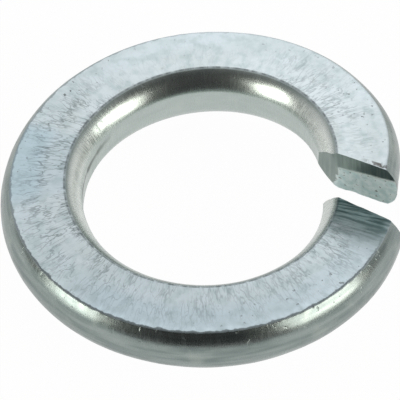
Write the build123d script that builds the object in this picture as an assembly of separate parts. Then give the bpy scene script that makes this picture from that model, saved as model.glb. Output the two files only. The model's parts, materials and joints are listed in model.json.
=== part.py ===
from build123d import *
import math
import os

# A spring lock washer for an M8 bolt: one turn of keystone-section spring steel wire, sheared across so that
# it has two offset ends. Millimetres and degrees. The origin is the middle of the bore, half way up the coil,
# and +Z is the bolt's axis. The cut lies at +X. Angles are counted from +X, anticlockwise seen from above, and
# the coil comes down that way, so the raised end is on the +Y side of the cut and the lowered end on the -Y side.

# Ring
bore_diameter = 8.6          # the cylinder that the coiling mandrel left inside the ring
outside_diameter = 14.5
turn_rise = 1.88             # how far the wire climbs in a full turn
land_height = 0.7            # the flat band that the mandrel pressed round the inner wall

# Wire: a keystone section, thicker at the bore than at the outside
outer_edge_height = 1.86     # between the two flats, at their outer edge
inner_edge_height = 2.26     # between the two flats, at their inner edge
outer_bulge = 0.4            # how far the outer wall swells past the flats
inner_bulge = 0.65           # how far the inner wall swells past the flats, before the land
corner_round = 0.06          # the worn corners between the flats and the walls

# The raised end is sheared down from its top flat and breaks away below. Each face has the angle where it
# meets the circle of the flats' inner edge, the slant of its line off the X axis, and its lean off upright.
shear_angle = 2.6
shear_slant = 19
facet_angle = 3.7            # the corner beside the bore, where the wire pulled back as it was cut
facet_slant = 47
facet_lean = 7.5
break_angle = 7.7            # measured at the underside
break_slant = 27.5
break_lean = 14

# The lowered end
lowered_angle = -0.7
lowered_slant = 27.7
roll_length = 1.6            # the blade rolled the top edge down over this length
roll_drop = 0.16

bore_radius = bore_diameter / 2
outer_radius = outside_diameter / 2
land_depth = inner_bulge * (land_height / inner_edge_height) ** 2
crest_radius = bore_radius - land_depth
flat_inner_radius = crest_radius + inner_bulge
flat_outer_radius = outer_radius - outer_bulge
section_width = outer_radius - crest_radius
middle_radius = (crest_radius + outer_radius) / 2
flat_width = flat_outer_radius - flat_inner_radius
flat_cone = math.degrees(math.atan2((inner_edge_height - outer_edge_height) / 2, flat_width))
climb = math.degrees(math.atan2(turn_rise, 2 * math.pi * middle_radius))
block_size = 2 * section_width


def height_at(angle):
    """The height of the wire's middle at an angle."""
    return turn_rise * (180 - angle) / 360


def angle_on_cut(radius, angle, slant):
    """The angle at which an upright cut crosses a circle of another radius."""
    distance = flat_inner_radius * math.sin(math.radians(angle + slant))
    return math.degrees(math.asin(distance / radius)) - slant


def wire_section():
    """The keystone outline in the XZ plane, with its middle at Z = 0."""
    outer_top = (flat_outer_radius, 0, outer_edge_height / 2)
    outer_bottom = (flat_outer_radius, 0, -outer_edge_height / 2)
    inner_top = (flat_inner_radius, 0, inner_edge_height / 2)
    inner_bottom = (flat_inner_radius, 0, -inner_edge_height / 2)
    outer_wall = ThreePointArc(outer_bottom, (outer_radius, 0, 0), outer_top)
    top_flat = Line(outer_top, inner_top)
    inner_wall = ThreePointArc(inner_top, (crest_radius, 0, 0), inner_bottom)
    bottom_flat = Line(inner_bottom, outer_bottom)
    outline = make_face([outer_wall, top_flat, inner_wall, bottom_flat])
    return fillet(outline.vertices(), corner_round)


def coiled_wire(upper_angle, lower_angle):
    """Uncut wire, from the angle of its upper end round to the angle of its lower end."""
    start = Pos(0, 0, height_at(lower_angle)) * Rot(0, 0, lower_angle)
    rise = height_at(upper_angle) - height_at(lower_angle)
    path = start * Helix(turn_rise, rise, middle_radius, lefthand=True)
    return sweep(start * wire_section(), path=path, is_frenet=True)


def cutting_block(angle, slant, lean, level, side):
    """A block with one face on a cut, filling the side of it where there is no wire."""
    turn = math.radians(angle)
    place = Pos(flat_inner_radius * math.cos(turn), flat_inner_radius * math.sin(turn), level)
    block = Box(block_size, block_size, block_size, align=(Align.CENTER, side, Align.CENTER))
    return place * Rot(0, 0, -slant) * Rot(lean, 0, 0) * block


def raised_half():
    """The upper half turn, with its sheared, pulled and broken end faces."""
    start_angle = angle_on_cut(outer_radius, shear_angle, shear_slant)
    wire = coiled_wire(start_angle - climb, 180)
    middle = height_at(0)
    underside = height_at(break_angle) - inner_edge_height / 2
    shear = cutting_block(shear_angle, shear_slant, 0, middle, Align.MAX)
    facet = cutting_block(facet_angle, facet_slant, facet_lean, middle, Align.MAX)
    broken = cutting_block(break_angle, break_slant, break_lean, underside, Align.MAX)
    return wire - shear - facet - broken


def edge_roll():
    """What the rolled-down top edge of the lowered end loses."""
    turn = math.radians(lowered_angle)
    level = height_at(360 + lowered_angle) + inner_edge_height / 2
    place = Pos(flat_inner_radius * math.cos(turn), flat_inner_radius * math.sin(turn), level)
    rolled = TangentArc((0, -roll_length, 0), (0, 0, -roll_drop), tangent=(0, 1, 0))
    over_wire = Polyline((0, 0, -roll_drop), (0, block_size, -roll_drop), (0, block_size, block_size),
                         (0, -roll_length, block_size), (0, -roll_length, 0))
    waste = extrude(make_face([rolled, over_wire]), section_width, dir=(1, 0, 0), both=True)
    return place * Rot(0, 0, -lowered_slant) * Rot(-climb, flat_cone, 0) * waste


def lowered_half():
    """The lower half turn, with its slanting cut and rolled top edge."""
    end_angle = 360 + angle_on_cut(crest_radius, lowered_angle, lowered_slant)
    wire = coiled_wire(180, end_angle + climb)
    cut = cutting_block(lowered_angle, lowered_slant, 0, height_at(360), Align.MIN)
    return wire - cut - edge_roll()


def lock_washer():
    """The whole ring, with the mandrel's land pressed into its inner wall, one face of it to each half turn."""
    mandrel = Cylinder(bore_radius, 2 * (turn_rise + inner_edge_height))
    upper = raised_half() - mandrel
    lower = lowered_half() - mandrel
    return upper.fuse(lower)


os.makedirs("parts", exist_ok=True)
washer = lock_washer()
washer.label = "lock_washer"
export_step(washer, "parts/lock_washer.step")
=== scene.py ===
import json
import math

import bpy
from mathutils import Matrix, Vector, noise


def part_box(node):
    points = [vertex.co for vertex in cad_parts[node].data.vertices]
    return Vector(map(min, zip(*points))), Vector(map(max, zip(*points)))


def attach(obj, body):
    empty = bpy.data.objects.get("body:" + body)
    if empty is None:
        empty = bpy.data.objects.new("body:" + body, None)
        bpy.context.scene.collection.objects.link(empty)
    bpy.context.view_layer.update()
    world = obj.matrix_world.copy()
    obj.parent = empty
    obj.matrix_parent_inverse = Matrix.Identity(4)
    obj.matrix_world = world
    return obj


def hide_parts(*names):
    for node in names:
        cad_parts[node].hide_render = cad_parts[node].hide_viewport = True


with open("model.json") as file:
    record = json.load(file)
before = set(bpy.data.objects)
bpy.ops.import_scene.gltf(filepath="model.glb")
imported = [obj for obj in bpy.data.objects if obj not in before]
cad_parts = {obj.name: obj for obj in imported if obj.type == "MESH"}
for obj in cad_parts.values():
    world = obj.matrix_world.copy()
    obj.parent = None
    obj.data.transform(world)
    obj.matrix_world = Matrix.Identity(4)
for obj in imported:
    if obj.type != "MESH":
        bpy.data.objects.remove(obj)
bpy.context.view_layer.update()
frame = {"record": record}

# A spring lock washer: one turn of keystone-section steel wire, sheared across, zinc plated and blue passivated.
# Lengths are millimetres until they reach Blender, which has metres. Angles are degrees from +X, anticlockwise
# seen from above, and the coil comes down that way: the raised end is at 0 and the lowered end at 360.

MM = 0.001

# Ring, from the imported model
bore_mount = frame["record"]["mounts"][0]
bore_radius = bore_mount["dims"]["r_mm"]
ring_low, ring_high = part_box("lock_washer")
outer_radius = (ring_high[0] - ring_low[0]) / 2 / MM

# Wire section, as the part has it
turn_rise = 1.88
outer_edge_height = 1.86
inner_edge_height = 2.26
outer_bulge = 0.4
inner_bulge = 0.65
land_height = 0.7
land_depth = inner_bulge * (land_height / inner_edge_height) ** 2
crest_radius = bore_radius - land_depth
flat_inner_radius = crest_radius + inner_bulge
flat_outer_radius = outer_radius - outer_bulge
flat_width = flat_outer_radius - flat_inner_radius
section_width = outer_radius - crest_radius
middle_radius = (outer_radius + crest_radius) / 2
lip_height, lip_share = 0.03, 0.09  # the lip at the flat's outer edge, and the share of the flat it takes
tuck_depth, tuck_reach = 0.2, 25    # the outer wall is drawn in by this towards the raised end, over these degrees
dent_depth, ripple_depth = 0.012, 0.003

# Faces of the raised end: where each meets the circle of the flats' inner edge, its slant off X, its lean
shear_angle, shear_slant = 2.6, 19
facet_angle, facet_slant, facet_lean = 3.7, 47, 7.5
break_angle, break_slant = 7.7, 27.5
band_depth_inner, band_depth_outer = 0.73, 0.5  # how far down the smooth sheared band goes
break_step = 0.05                               # the torn zone stands out this far below the band
ledge_waver = 0.05                              # how much the line between band and torn zone wanders
torn_roughness, lowered_roughness = 0.035, 0.02
lowered_torn_share = 0.2                        # how torn the whole of the lowered end's face looks

# Lowered end
lowered_angle, lowered_slant = -0.7, 27.7
roll_length, roll_drop = 1.6, 0.16

# Mesh: steps along the wire, and across the flats and walls of its section
steps_along = 620
steps_flat = 34
steps_wall = 34
burr_steps = 4       # how far the raised end's burr reaches back
end_crowding = 0.35  # how much finer the steps are at the two ends
end_blend = 40       # degrees over which the section's stations turn to meet the slanted ends


def linear(hex_colour):
    """An sRGB hex colour as linear red, green, blue, alpha."""
    channels = [int(hex_colour[i:i + 2], 16) / 255 for i in (1, 3, 5)]
    return [c / 12.92 if c <= 0.04045 else ((c + 0.055) / 1.055) ** 2.4 for c in channels] + [1.0]


def smooth_step(low, high, value):
    """0 below low, 1 above high, and an even rise between."""
    t = min(1.0, max(0.0, (value - low) / (high - low)))
    return t * t * (3 - 2 * t)


def mix(a, b, share):
    return a + (b - a) * share


def height_at(angle):
    return turn_rise * (180 - angle) / 360


# --- The section -------------------------------------------------------------------------------------------

def flat_point(share, side):
    """A point on the top (side 1) or bottom (side -1) flat, from the outer edge (0) to the inner edge (1)."""
    eased = 0.5 - 0.5 * math.cos(math.pi * share)
    even = mix(share, eased, 0.6)
    radius = mix(flat_outer_radius, flat_inner_radius, even)
    return radius, side * mix(outer_edge_height, inner_edge_height, even) / 2


def arc_point(share, half_height, bulge):
    """From the top (0) to the bottom (1) of an arc: how far it stands short of its crest, and its height."""
    arc_radius = (half_height ** 2 + bulge ** 2) / (2 * bulge)
    turn = math.asin(half_height / arc_radius) * (1 - 2 * share)
    return arc_radius * (1 - math.cos(turn)), arc_radius * math.sin(turn)


def outer_wall_point(share):
    """From the top flat's outer edge (0) down to the bottom flat's (1)."""
    short, height = arc_point(share, outer_edge_height / 2, outer_bulge)
    return outer_radius - short, height


def inner_wall_point(share):
    """From the top flat's inner edge (0) down to the bottom flat's (1), with the mandrel's land on the crest."""
    short, height = arc_point(share, inner_edge_height / 2, inner_bulge)
    return max(crest_radius + short, bore_radius), height


def section_grid():
    """The filled section as rows from outside to bore and columns from top to bottom, by blending its four sides."""
    grid = []
    for i in range(steps_flat + 1):
        s = i / steps_flat
        row = []
        for j in range(steps_wall + 1):
            t = j / steps_wall
            top, bottom = flat_point(s, 1), flat_point(s, -1)
            outer, inner = outer_wall_point(t), inner_wall_point(t)
            corners = [flat_point(0, 1), flat_point(1, 1), flat_point(0, -1), flat_point(1, -1)]
            point = []
            for axis in (0, 1):
                blended = mix(top[axis], bottom[axis], t) + mix(outer[axis], inner[axis], s)
                upper = mix(corners[0][axis], corners[1][axis], s)
                lower = mix(corners[2][axis], corners[3][axis], s)
                point.append(blended - mix(upper, lower, t))
            row.append(tuple(point))
        grid.append(row)
    return grid


def rim_cells():
    """The grid cells round the section's edge, clockwise from the top flat's outer edge, without repeats."""
    top = [(i, 0) for i in range(steps_flat)]
    inner = [(steps_flat, j) for j in range(steps_wall)]
    bottom = [(i, steps_wall) for i in range(steps_flat, 0, -1)]
    outer = [(0, j) for j in range(steps_wall, 0, -1)]
    return top + inner + bottom + outer


# --- The cut ends ------------------------------------------------------------------------------------------

def cut_line(angle, slant, x):
    """The Y of an upright cut at a given X."""
    turn = math.radians(angle)
    start_x, start_y = flat_inner_radius * math.cos(turn), flat_inner_radius * math.sin(turn)
    return start_y - math.tan(math.radians(slant)) * (x - start_x)


def facet_face(x, height):
    """The Y of the leaning facet at the raised end's inner corner."""
    lean = height * math.tan(math.radians(facet_lean)) / math.cos(math.radians(facet_slant))
    return cut_line(facet_angle, facet_slant, x) - lean


def raised_face(x, height):
    """The Y of the raised end's face. Height is counted from the wire's middle."""
    sheared = cut_line(shear_angle, shear_slant, x)
    across = (x - flat_inner_radius) / flat_width
    across = min(1.2, max(0.0, across))
    top = mix(inner_edge_height, outer_edge_height, across) / 2
    waver = ledge_waver * noise.noise(Vector((x * 2.3, 0, 4)))
    edge = top - mix(band_depth_inner, band_depth_outer, across) + waver
    below = max(0.0, (edge - height) / (edge + top))
    foot = cut_line(break_angle, break_slant, x)
    rough = torn_roughness * noise.fractal(Vector((x * 3, height * 3, 1)), 1.0, 2.0, 3)
    torn = mix(sheared - break_step, foot, below) + rough
    face = mix(sheared, torn, smooth_step(0, 0.08, edge - height))
    return max(face, facet_face(x, height))


def lowered_face(x, height):
    """The Y of the lowered end's face."""
    rough = lowered_roughness * noise.fractal(Vector((x * 3, height * 3, 7)), 1.0, 2.0, 3)
    return cut_line(lowered_angle, lowered_slant, x) + rough


def face_angle(face, radius, height):
    """The angle at which an end face meets a circle of the wire."""
    y = 0.0
    for _ in range(12):
        x = math.sqrt(radius ** 2 - y ** 2)
        y = mix(y, face(x, height), 0.7)
    return math.degrees(math.asin(y / radius))


# --- Building the mesh -------------------------------------------------------------------------------------

def along_wire(step):
    """The share of the wire's length at a step, with finer steps at both ends."""
    t = step / steps_along
    eased = 0.5 - 0.5 * math.cos(math.pi * t)
    return mix(t, eased, end_crowding)


def wire_place(radius, height, angle):
    """Where a point is: mm along the wire, mm across from the flats' inner edge, and share of the depth."""
    across = radius - flat_inner_radius
    edge_share = min(1.0, max(0.0, across / flat_width))
    half_height = mix(inner_edge_height, outer_edge_height, edge_share) / 2
    return math.radians(angle) * middle_radius, across, (half_height - height) / (2 * half_height)


def roll_down(point, height, back):
    """How far the lowered end's top edge is rolled down, a distance back from the cut."""
    if back > roll_length:
        return 0.0
    return roll_drop * (1 - max(0.0, back) / roll_length) ** 2 * smooth_step(-0.2, 0.9, height)


def crease_lift(side_share, angle):
    """The ragged lip that the rolls squeezed up along the top flat's outer edge, strongest on the -Y side."""
    near = math.exp(-(side_share / lip_share) ** 2)
    strength = 0.3 + 0.7 * smooth_step(200, 235, angle) - smooth_step(325, 345, angle)
    ragged = noise.noise(Vector((angle * 0.45, 0, 3))) + 0.6 * noise.noise(Vector((angle * 1.1, 0, 8)))
    return near * max(0.0, strength) * max(0.0, 0.35 + ragged) * lip_height


def uneven(point):
    """The slight unevenness of rolled wire under its plating."""
    broad = noise.noise(point * 0.55) * dent_depth
    fine = noise.noise(point * 2.1 + Vector((5, 0, 0))) * ripple_depth
    return broad + fine


def end_angles(grid):
    """Where each cell of the section meets the raised and the lowered end's face."""
    angles = {}
    for i, row in enumerate(grid):
        for j, (radius, height) in enumerate(row):
            first = face_angle(raised_face, radius, height)
            last = face_angle(lowered_face, radius, height)
            angles[i, j] = (first, last)
    return angles


def placed(cell, share, grid, angles):
    """A cell of the section carried to a share of the wire's length, and its angle."""
    radius, height = grid[cell[0]][cell[1]]
    first, last = angles[cell]
    base = 360 * share
    towards_first = max(0, 1 - base / end_blend) ** 2
    towards_last = max(0, 1 - (360 - base) / end_blend) ** 2
    angle = base + first * towards_first + last * towards_last
    turn = math.radians(angle)
    drawn_in = tuck_depth * max(0, 1 - max(0, angle) / tuck_reach) ** 2
    radius -= drawn_in * smooth_step(flat_inner_radius, outer_radius, radius)
    point = Vector((radius * math.cos(turn), radius * math.sin(turn), height_at(angle) + height))
    if angle > 360 - end_blend:
        back = (360 + last - angle) * math.radians(1) * radius * math.cos(math.radians(lowered_slant))
        point.z -= roll_down(point, height, back)
    outwards = Vector((math.cos(turn), math.sin(turn), 0)) * (radius - middle_radius) / section_width
    outwards.z = height / inner_edge_height
    point += outwards.normalized() * uneven(point) if outwards.length > 0 else outwards
    if cell[1] == 0:
        point.z += crease_lift((flat_outer_radius - radius) / flat_width, angle)
    return point, angle


def torn_share(cell, step, grid):
    """1 where a cell of an end's face lies in the torn zone under the smooth sheared band, 0 in the band."""
    radius, height = grid[cell[0]][cell[1]]
    if step > 0:
        return lowered_torn_share
    across = min(1.0, max(0.0, (radius - flat_inner_radius) / flat_width))
    top = mix(inner_edge_height, outer_edge_height, across) / 2
    edge = top - mix(band_depth_inner, band_depth_outer, across)
    on_facet = raised_face(radius, height) == facet_face(radius, height)
    return 0.0 if on_facet else smooth_step(-0.05, 0.1, edge - height)


def end_burr(cell, step):
    """1 on the outer part of the top flat just behind the raised end's face, where the shear left a burr."""
    if cell[1] > 0 or not 0 < step <= burr_steps:
        return 0.0
    return 1 - smooth_step(0.2, 0.6, cell[0] / steps_flat)


def build_wire():
    grid = section_grid()
    rim = rim_cells()
    angles = end_angles(grid)
    around = len(rim)
    vertices, faces, places, torn = [], [], [], []
    for step in range(steps_along + 1):
        for cell in rim:
            point, angle = placed(cell, along_wire(step), grid, angles)
            vertices.append(point)
            places.append(wire_place(*grid[cell[0]][cell[1]], angle))
            torn.append(torn_share(cell, step, grid) if step in (0, steps_along) else end_burr(cell, step))
    for step in range(steps_along):
        for n in range(around):
            m = (n + 1) % around
            a, b = step * around, (step + 1) * around
            faces.append((a + n, b + n, b + m, a + m))
    side_faces = len(faces)

    for share, offset in ((0, 0), (1, steps_along * around)):
        index = {cell: offset + n for n, cell in enumerate(rim)}
        for i in range(1, steps_flat):
            for j in range(1, steps_wall):
                index[i, j] = len(vertices)
                point, angle = placed((i, j), share, grid, angles)
                vertices.append(point)
                places.append(wire_place(*grid[i][j], angle))
                torn.append(torn_share((i, j), share, grid))
        for i in range(steps_flat):
            for j in range(steps_wall):
                loop = (index[i, j], index[i + 1, j], index[i + 1, j + 1], index[i, j + 1])
                faces.append(loop if share == 0 else loop[::-1])
    return vertices, faces, places, torn, side_faces, around


def washer_object():
    vertices, faces, places, torn, side_faces, around = build_wire()
    mesh = bpy.data.meshes.new("washer_wire")
    mesh.from_pydata([v * MM for v in vertices], [], faces)
    mesh.shade_smooth()
    last_row = steps_along * around
    for edge in mesh.edges:
        a, b = edge.vertices
        if max(a, b) < around or last_row <= min(a, b) and max(a, b) < last_row + around:
            edge.use_edge_sharp = True
    place = mesh.attributes.new("wire_place", "FLOAT_VECTOR", "POINT")
    for point, value in zip(place.data, places):
        point.vector = value
    torn_zone = mesh.attributes.new("torn_zone", "FLOAT", "POINT")
    for point, value in zip(torn_zone.data, torn):
        point.value = value
    for polygon in mesh.polygons[side_faces:]:
        polygon.material_index = 1
    washer = bpy.data.objects.new("washer_wire", mesh)
    bpy.context.scene.collection.objects.link(washer)
    return washer


washer = washer_object()
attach(washer, "root")
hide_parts("lock_washer")


# --- Materials ---------------------------------------------------------------------------------------------

def add(tree, kind, inputs=(), **settings):
    """Adds a node. An input given as another node's output is linked, and any other value is set."""
    node = tree.nodes.new(kind)
    for name, value in settings.items():
        setattr(node, name, value)
    for name, value in dict(inputs).items():
        if isinstance(value, bpy.types.NodeSocket):
            tree.links.new(value, node.inputs[name])
        else:
            node.inputs[name].default_value = value
    return node


def maths(tree, operation, *values):
    return add(tree, "ShaderNodeMath", enumerate(values), operation=operation).outputs[0]


def ramp(tree, value, low, high, start=0.0, end=1.0):
    """From start, at low, smoothly to end, at high."""
    return add(tree, "ShaderNodeMapRange",
               {"Value": value, "From Min": low, "From Max": high, "To Min": start, "To Max": end},
               interpolation_type="SMOOTHSTEP").outputs[0]


def blend(tree, share, one, other):
    """One colour turning into another as the share goes from 0 to 1."""
    return add(tree, "ShaderNodeMix", {0: share, 6: one, 7: other}, data_type="RGBA").outputs[2]


def by_angle(tree, angle, stops):
    """A value that changes round the coil, given at some angles."""
    share = maths(tree, "DIVIDE", angle, 360)
    curve = add(tree, "ShaderNodeValToRGB", {"Fac": share})
    points = curve.color_ramp.elements
    while len(points) < len(stops):
        points.new(0.5)
    for point, (degrees, value) in zip(points, stops.items()):
        point.position = degrees / 360
        point.color = (value, value, value, 1)
    return curve.outputs["Color"]


def grain(tree, place, per_mm, offset, detail=2.0):
    """Noise with so many features a mm along the wire and across it, and so many down the walls. 0 to 1.

    The offset only keeps one noise from lining up with another.
    """
    scaled = add(tree, "ShaderNodeVectorMath", {0: place, 1: per_mm, 2: (offset, offset, offset)},
                 operation="MULTIPLY_ADD").outputs[0]
    return add(tree, "ShaderNodeTexNoise", {"Vector": scaled, "Scale": 1.0, "Detail": detail}).outputs["Fac"]


def hairs(tree, noise_value, width):
    """Thin lines where a noise crosses its middle."""
    off = maths(tree, "ABSOLUTE", maths(tree, "SUBTRACT", noise_value, 0.5))
    return ramp(tree, off, 0.0, width, 1.0, 0.0)


def bare_metal(name):
    """A new metal material, its node tree and its shader."""
    material = bpy.data.materials.new(name)
    material.use_nodes = True
    shader = material.node_tree.nodes["Principled BSDF"]
    shader.inputs["Metallic"].default_value = 1.0
    return material, material.node_tree, shader


def plated_wire():
    """Electroplated zinc, blue passivated, on rolled and coiled spring steel.

    It gives the eye pale, bluish, half-matt flats with fine dark wrinkles, and darker, sleeker walls that
    mirror the studio as soft bands. Some of these tones are painted light or shade, as marked below.
    """
    material, tree, shader = bare_metal("blue_passivated_zinc")
    place = add(tree, "ShaderNodeAttribute", attribute_name="wire_place").outputs["Vector"]
    along, across, down = add(tree, "ShaderNodeSeparateXYZ", {0: place}).outputs
    angle = maths(tree, "MULTIPLY", along, math.degrees(1) / middle_radius)
    top = ramp(tree, down, 0.0, 0.02, 1.0, 0.0)
    flats = maths(tree, "ADD", top, ramp(tree, down, 0.98, 1.0))

    # Clouds of the passivation, 1 to 2 mm wide with finer ones of 0.4 mm,
    # bluer on the outer part of the -X side and towards the lowered end
    clouds = grain(tree, place, (0.45, 0.9, 1.5), 3, 3.0)
    fine_clouds = grain(tree, place, (2.6, 2.2, 4), 9, 4.0)
    outer_part = ramp(tree, across, 0.3 * flat_width, 0.6 * flat_width)
    blue_side = by_angle(tree, angle, {0: 0.1, 60: 0.2, 140: 0.25, 156: 0.3, 160: 1.0, 186: 1.0, 192: 0.35,
                                       225: 0.4, 240: 0.75, 300: 0.6, 360: 0.4})
    blue = maths(tree, "MULTIPLY", blue_side, maths(tree, "MULTIPLY_ADD", outer_part, 0.5, 0.5))
    pale = blend(tree, ramp(tree, clouds, 0.35, 0.65), linear("#dae4e8"), linear("#d0dadc"))
    flat_colour = blend(tree, blue, pale, linear("#bfd2db"))
    flat_colour = blend(tree, ramp(tree, fine_clouds, 0.4, 0.75, 0.0, 0.4), flat_colour, linear("#9db1b3"))

    # Hair-like wrinkles across the flats, where the coiling crumpled the rolled skin: about 0.2 to 0.3 mm apart
    # and 1 mm long, drawn some 0.03 mm wide, as coarse as they need to be to show
    thick = grain(tree, place, (3.0, 0.8, 0), 21, 2.5)
    thin = grain(tree, place, (5.5, 1.3, 0), 37, 2.0)
    patches = ramp(tree, grain(tree, place, (0.9, 0.9, 0), 50, 2.0), 0.3, 0.55)
    wrinkled = by_angle(tree, angle, {0: 0.15, 18: 0.5, 55: 0.45, 70: 0.12, 128: 0.15, 145: 0.9, 190: 0.85,
                                      215: 1.0, 240: 0.55, 300: 0.4, 335: 0.6, 360: 0.6})
    inner_part = ramp(tree, across, 0.35 * flat_width, 0.95 * flat_width, 1.0, 0.35)
    wrinkled = maths(tree, "MULTIPLY", wrinkled, inner_part)
    lines = maths(tree, "MAXIMUM", hairs(tree, thick, 0.03), maths(tree, "MULTIPLY", hairs(tree, thin, 0.04), 0.7))
    wrinkles = maths(tree, "MULTIPLY", maths(tree, "MULTIPLY", lines, patches), wrinkled)
    flat_colour = blend(tree, maths(tree, "MULTIPLY", wrinkles, 0.6), flat_colour, linear("#4f5a5e"))

    # Pits and specks under 0.1 mm, mostly by the raised end and by the outer edge
    speckled = by_angle(tree, angle, {0: 0.2, 12: 1.0, 32: 0.9, 45: 0.3, 90: 0.2, 140: 0.7, 170: 0.4, 250: 0.25,
                                      320: 0.6, 360: 0.3})
    pits = ramp(tree, grain(tree, place, (5.5, 4.2, 3), 70, 2.0), 0.66, 0.72)
    pits = maths(tree, "MULTIPLY", maths(tree, "MULTIPLY", pits, speckled),
                 ramp(tree, across, 0.2 * flat_width, 0.7 * flat_width, 0.35, 1.0))
    flat_colour = blend(tree, maths(tree, "MULTIPLY", pits, 0.85), flat_colour, linear("#4a4745"))

    # Walls: greyer green, with faint streaks along the wire; darker than the flats, partly as painted shade
    streaks = grain(tree, place, (0.5, 3.0, 7.0), 90, 4.0)
    mottle = grain(tree, place, (1.6, 1.6, 3.0), 110, 4.0)
    wall_colour = blend(tree, ramp(tree, streaks, 0.3, 0.7), linear("#9ca6a3"), linear("#7d8987"))
    wall_colour = blend(tree, ramp(tree, mottle, 0.5, 0.75, 0.0, 0.3), wall_colour, linear("#bcc3bb"))
    in_bore = ramp(tree, across, -0.3, -0.02, 1.0, 0.0)
    # Painted light: the bore's wall is made paler than the outer wall, for the brighter reflections it shows
    wall_colour = blend(tree, maths(tree, "MULTIPLY", in_bore, 0.6), wall_colour, linear("#d5dfda"))
    # Rough seam half way down the bore on the -X side
    seam = maths(tree, "ABSOLUTE", maths(tree, "SUBTRACT", down, 0.42))
    seam = ramp(tree, maths(tree, "MULTIPLY_ADD", mottle, 0.16, seam), 0.08, 0.16, 1.0, 0.0)
    seam_side = by_angle(tree, angle, {0: 0.0, 140: 0.0, 155: 0.8, 195: 0.8, 212: 0.0, 360: 0.0})
    seam = maths(tree, "MULTIPLY", maths(tree, "MULTIPLY", seam, seam_side), in_bore)
    wall_colour = blend(tree, maths(tree, "MULTIPLY", seam, 0.8), wall_colour, linear("#4c5552"))

    # Pale, matt shoulder just inside the inner crease, where the bore's edge was pressed by the coiling
    # Its paleness is a painted highlight, standing in for light on an upward facet that the mesh lacks
    lit_shoulder_side = by_angle(tree, angle, {0: 1.0, 22: 0.9, 50: 0.0, 150: 0.0, 168: 0.8, 200: 0.8, 220: 0.0,
                                           325: 0.0, 340: 0.9, 360: 1.0})
    lit_shoulder = maths(tree, "MULTIPLY", ramp(tree, down, 0.22, 0.32, 1.0, 0.0), in_bore)
    lit_shoulder = maths(tree, "MULTIPLY", lit_shoulder, lit_shoulder_side)
    lit_shoulder = maths(tree, "MULTIPLY", lit_shoulder, ramp(tree, mottle, 0.25, 0.5, 0.75, 1.0))
    wall_colour = blend(tree, lit_shoulder, wall_colour, linear("#e6ecea"))
    tree.links.new(maths(tree, "MULTIPLY_ADD", lit_shoulder, -0.8, 1.0), shader.inputs["Metallic"])

    colour = blend(tree, flats, wall_colour, flat_colour)

    # Dark, saw-edged burr along the outer crease and a thin line along the inner one, partly painted shade
    jagged = grain(tree, place, (3.2, 0, 0), 130, 3.0)
    burr_reach = ramp(tree, jagged, 0.35, 0.75, 0.03, 0.16)
    inside_edge = maths(tree, "SUBTRACT", flat_width, across)
    burr = ramp(tree, maths(tree, "DIVIDE", inside_edge, burr_reach), 0.4, 1.0, 1.0, 0.0)
    burr = maths(tree, "MULTIPLY", burr, top)
    burr_and_shade_side = by_angle(tree, angle, {0: 0.1, 90: 0.2, 130: 0.5, 180: 0.5, 215: 0.9, 330: 0.8, 345: 0.2})
    burr = maths(tree, "MULTIPLY", burr, burr_and_shade_side)
    inner_line = ramp(tree, maths(tree, "ABSOLUTE", across), 0.02, 0.06, 1.0, 0.0)
    inner_line = maths(tree, "MULTIPLY", inner_line, top)
    inner_line = maths(tree, "MULTIPLY", inner_line, ramp(tree, jagged, 0.35, 0.6, 0.2, 0.8))
    edges = maths(tree, "MAXIMUM", burr, inner_line)
    colour = blend(tree, maths(tree, "MULTIPLY", edges, 0.8), colour, linear("#4b5052"))

    # Dark burr that the shear folded over the raised end's outer corner
    end_edge = add(tree, "ShaderNodeAttribute", attribute_name="torn_zone").outputs["Fac"]
    ragged = ramp(tree, grain(tree, place, (4.0, 5.0, 0), 170, 3.0), 0.4, 0.55)
    end_edge = maths(tree, "MULTIPLY", maths(tree, "MULTIPLY", end_edge, ragged), top)
    colour = blend(tree, maths(tree, "MULTIPLY", end_edge, 0.85), colour, linear("#4a403b"))

    # The lowered end is dull and scratched from the shear; its darkness there is partly painted shade
    dull_and_shade = by_angle(tree, angle, {0: 0.0, 333: 0.0, 343: 0.6, 350: 0.95, 360: 1.0})
    scratches = grain(tree, place, (6.0, 0.8, 0), 150, 3.0)
    dull_and_shade = maths(tree, "MULTIPLY", maths(tree, "MULTIPLY", dull_and_shade, top), ramp(tree, scratches, 0.38, 0.62, 0.35, 1.0))
    colour = blend(tree, dull_and_shade, colour, linear("#566a6c"))
    tree.links.new(colour, shader.inputs["Base Color"])

    wall_roughness, flat_roughness = 0.27, 0.36
    roughness = maths(tree, "MULTIPLY_ADD", flats, flat_roughness - wall_roughness, wall_roughness)
    rougher = maths(tree, "MAXIMUM", maths(tree, "MAXIMUM", edges, seam), maths(tree, "MAXIMUM", pits, wrinkles))
    tree.links.new(maths(tree, "MULTIPLY_ADD", rougher, 0.25, roughness), shader.inputs["Roughness"])

    wrinkles = maths(tree, "MULTIPLY", wrinkles, flats)
    height = maths(tree, "MULTIPLY_ADD", wrinkles, -0.6, maths(tree, "MULTIPLY", pits, -1.0))
    height = maths(tree, "MULTIPLY_ADD", mottle, 0.3, height)
    height = maths(tree, "MULTIPLY_ADD", streaks, 0.3, height)
    bump = add(tree, "ShaderNodeBump", {"Height": height, "Strength": 0.6, "Distance": 0.02 * MM})
    tree.links.new(bump.outputs[0], shader.inputs["Normal"])
    return material


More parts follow.
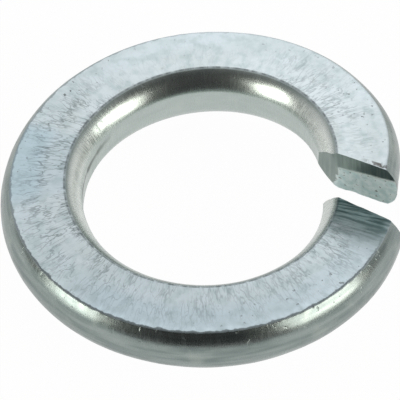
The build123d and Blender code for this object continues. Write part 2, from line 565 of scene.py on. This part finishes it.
def sheared_ends():
    """Steel sheared through and then zinc plated with the rest.

    It gives the eye a smooth, dark, scored band above, and a pale, matt, pocked torn zone below.
    """
    material, tree, shader = bare_metal("sheared_and_plated_end")
    place = add(tree, "ShaderNodeAttribute", attribute_name="wire_place").outputs["Vector"]
    torn = add(tree, "ShaderNodeAttribute", attribute_name="torn_zone").outputs["Fac"]
    mottle = grain(tree, place, (0, 3.5, 7.0), 11, 4.0)
    scores = grain(tree, place, (0, 9.0, 1.2), 27, 3.0)
    band = blend(tree, ramp(tree, scores, 0.35, 0.65), linear("#87958f"), linear("#75847f"))
    rough_zone = blend(tree, ramp(tree, mottle, 0.35, 0.65), linear("#d0e8e8"), linear("#ebfafa"))
    colour = blend(tree, torn, band, rough_zone)
    pits = maths(tree, "MULTIPLY", ramp(tree, grain(tree, place, (0, 7.0, 12.0), 45, 2.0), 0.62, 0.7), torn)
    colour = blend(tree, maths(tree, "MULTIPLY", pits, 0.7), colour, linear("#59635f"))
    # Painted highlight: a pale line where the torn zone meets the band, for light caught by the ledge's edge
    ledge_highlight = hairs(tree, torn, 0.25)
    colour = blend(tree, maths(tree, "MULTIPLY", ledge_highlight, 0.6), colour, linear("#dfe7e6"))
    tree.links.new(colour, shader.inputs["Base Color"])
    tree.links.new(maths(tree, "MULTIPLY_ADD", torn, 0.25, 0.32), shader.inputs["Roughness"])
    tree.links.new(maths(tree, "MULTIPLY_ADD", torn, -0.6, 1.0), shader.inputs["Metallic"])  # matt, pocked plate
    height = maths(tree, "MULTIPLY_ADD", mottle, torn, maths(tree, "MULTIPLY", scores, 0.3))
    bump = add(tree, "ShaderNodeBump", {"Height": height, "Strength": 0.7, "Distance": 0.03 * MM})
    tree.links.new(bump.outputs[0], shader.inputs["Normal"])
    return material


washer.data.materials.append(plated_wire())
washer.data.materials.append(sheared_ends())


# --- Floor, light and camera -------------------------------------------------------------------------------

def resting_plane(points):
    """The height and slopes of the plane that the washer rests on: the highest one under it, at its middle."""
    def clearance(slope_x, slope_y):
        return min(p.z - slope_x * p.x - slope_y * p.y for p in points)

    slope_x, slope_y, step = 0.0, 0.0, 0.05
    for _ in range(60):
        tries = [(slope_x + dx * step, slope_y + dy * step) for dx in (-1, 0, 1) for dy in (-1, 0, 1)]
        best = max(tries, key=lambda slopes: clearance(*slopes))
        if clearance(*best) > clearance(slope_x, slope_y):
            slope_x, slope_y = best
        else:
            step /= 2
    return clearance(slope_x, slope_y), slope_x, slope_y


def white_paper():
    """Matt white paper. The camera, and the metal's reflections in part, see it as a plain white ground."""
    material = bpy.data.materials.new("white_paper")
    material.use_nodes = True
    tree = material.node_tree
    tree.nodes.clear()
    seen = add(tree, "ShaderNodeLightPath").outputs
    mirrored = maths(tree, "MAXIMUM", seen["Is Glossy Ray"], seen["Is Transmission Ray"])
    share = maths(tree, "MAXIMUM", maths(tree, "MULTIPLY", seen["Is Camera Ray"], background_share),
                  maths(tree, "MULTIPLY", mirrored, mirrored_share))
    paper = add(tree, "ShaderNodeBsdfDiffuse", {"Color": linear("#fafafa")})
    glow = add(tree, "ShaderNodeEmission", {"Color": linear("#ffffff"), "Strength": 1.0})
    both = add(tree, "ShaderNodeMixShader", {0: share, 1: paper.outputs[0], 2: glow.outputs[0]})
    add(tree, "ShaderNodeOutputMaterial", {"Surface": both.outputs[0]})
    return material


def floor():
    """A pale floor that lies as the washer's resting plane does."""
    wire_points = [v.co for v in washer.data.vertices]
    level, slope_x, slope_y = resting_plane(wire_points[::7])
    reach = 2.0
    corners = [(x, y, level + slope_x * x + slope_y * y) for x, y in
               ((-reach, -reach), (reach, -reach), (reach, reach), (-reach, reach))]
    mesh = bpy.data.meshes.new("floor")
    mesh.from_pydata(corners, [], [(0, 1, 2, 3)])
    mesh.materials.append(white_paper())
    plane = bpy.data.objects.new("floor", mesh)
    bpy.context.scene.collection.objects.link(plane)


def soft_light(name, azimuth, elevation, distance, width, height, radiance):
    """A rectangular lamp aimed at the washer. Azimuth is from -Y, towards +X."""
    turn, lift = math.radians(azimuth), math.radians(elevation)
    away = Vector((math.sin(turn) * math.cos(lift), -math.cos(turn) * math.cos(lift), math.sin(lift)))
    light = bpy.data.lights.new(name, "AREA")
    light.shape = "RECTANGLE"
    light.size = width
    light.size_y = height
    light.energy = radiance * math.pi * width * height
    light.color = linear("#fffaf2")[:3]
    lamp = bpy.data.objects.new(name, light)
    lamp.location = away * distance
    lamp.rotation_euler = away.to_track_quat("Z", "Y").to_euler()
    lamp.visible_camera = False
    bpy.context.scene.collection.objects.link(lamp)


def studio_world():
    """A bright studio behind and above the washer, and a dim room on the -Y side."""
    world = bpy.data.worlds.new("studio")
    bpy.context.scene.world = world
    world.use_nodes = True
    tree = world.node_tree
    tree.nodes.clear()
    direction = add(tree, "ShaderNodeTexCoord").outputs["Generated"]
    towards = add(tree, "ShaderNodeVectorMath", {0: direction, 1: bright_centre},
                  operation="DOT_PRODUCT").outputs["Value"]
    room = ramp(tree, towards, *studio_edge, dim_room, studio_side)
    light = maths(tree, "ADD", room, ramp(tree, towards, *studio_heart, 0.0, studio_middle - studio_side))
    background = add(tree, "ShaderNodeBackground", {"Color": light})
    add(tree, "ShaderNodeOutputWorld", {"Surface": background.outputs[0]})


bright_centre = (0, 0.82, 0.57)
studio_edge, studio_heart = (0.0, 0.6), (0.88, 1.0)  # cosines from the middle of the bright studio
dim_room, studio_side, studio_middle = 0.05, 0.74, 1.25
background_share, mirrored_share = 0.975, 0.72  # how much of the floor is plain white, seen directly and in the metal
studio_world()
floor()
soft_light("left_softbox", azimuth=-64, elevation=16, distance=0.5, width=0.24, height=0.26, radiance=5)
soft_light("right_softbox", azimuth=68, elevation=17, distance=0.5, width=0.36, height=0.28, radiance=4)


def view_camera():
    """A long lens, looking down at the washer from a little right of -Y."""
    elevation, azimuth, roll = math.radians(47.5), math.radians(6.05), math.radians(-4.52)
    distance, lens = 213, 535.4
    aside, below = 0.090, 0.113  # how far left of the line through the washer's origin the camera stands, and below
    back = Vector((math.sin(azimuth) * math.cos(elevation), -math.cos(azimuth) * math.cos(elevation),
                   math.sin(elevation)))
    level = Vector((math.cos(azimuth), math.sin(azimuth), 0))
    upright = back.cross(level)
    right = math.cos(roll) * level + math.sin(roll) * upright
    up = math.cos(roll) * upright - math.sin(roll) * level
    camera_data = bpy.data.cameras.new("camera")
    camera_data.sensor_width = 36
    camera_data.lens = lens
    camera_data.clip_start = 0.01
    camera = bpy.data.objects.new("camera", camera_data)
    bpy.context.scene.collection.objects.link(camera)
    place = (back * distance - right * aside - up * below) * MM
    camera.matrix_world = Matrix.Translation(place) @ Matrix((right, up, back)).transposed().to_4x4()
    bpy.context.scene.camera = camera


view_camera()
bpy.context.scene.view_settings.view_transform = "Standard"
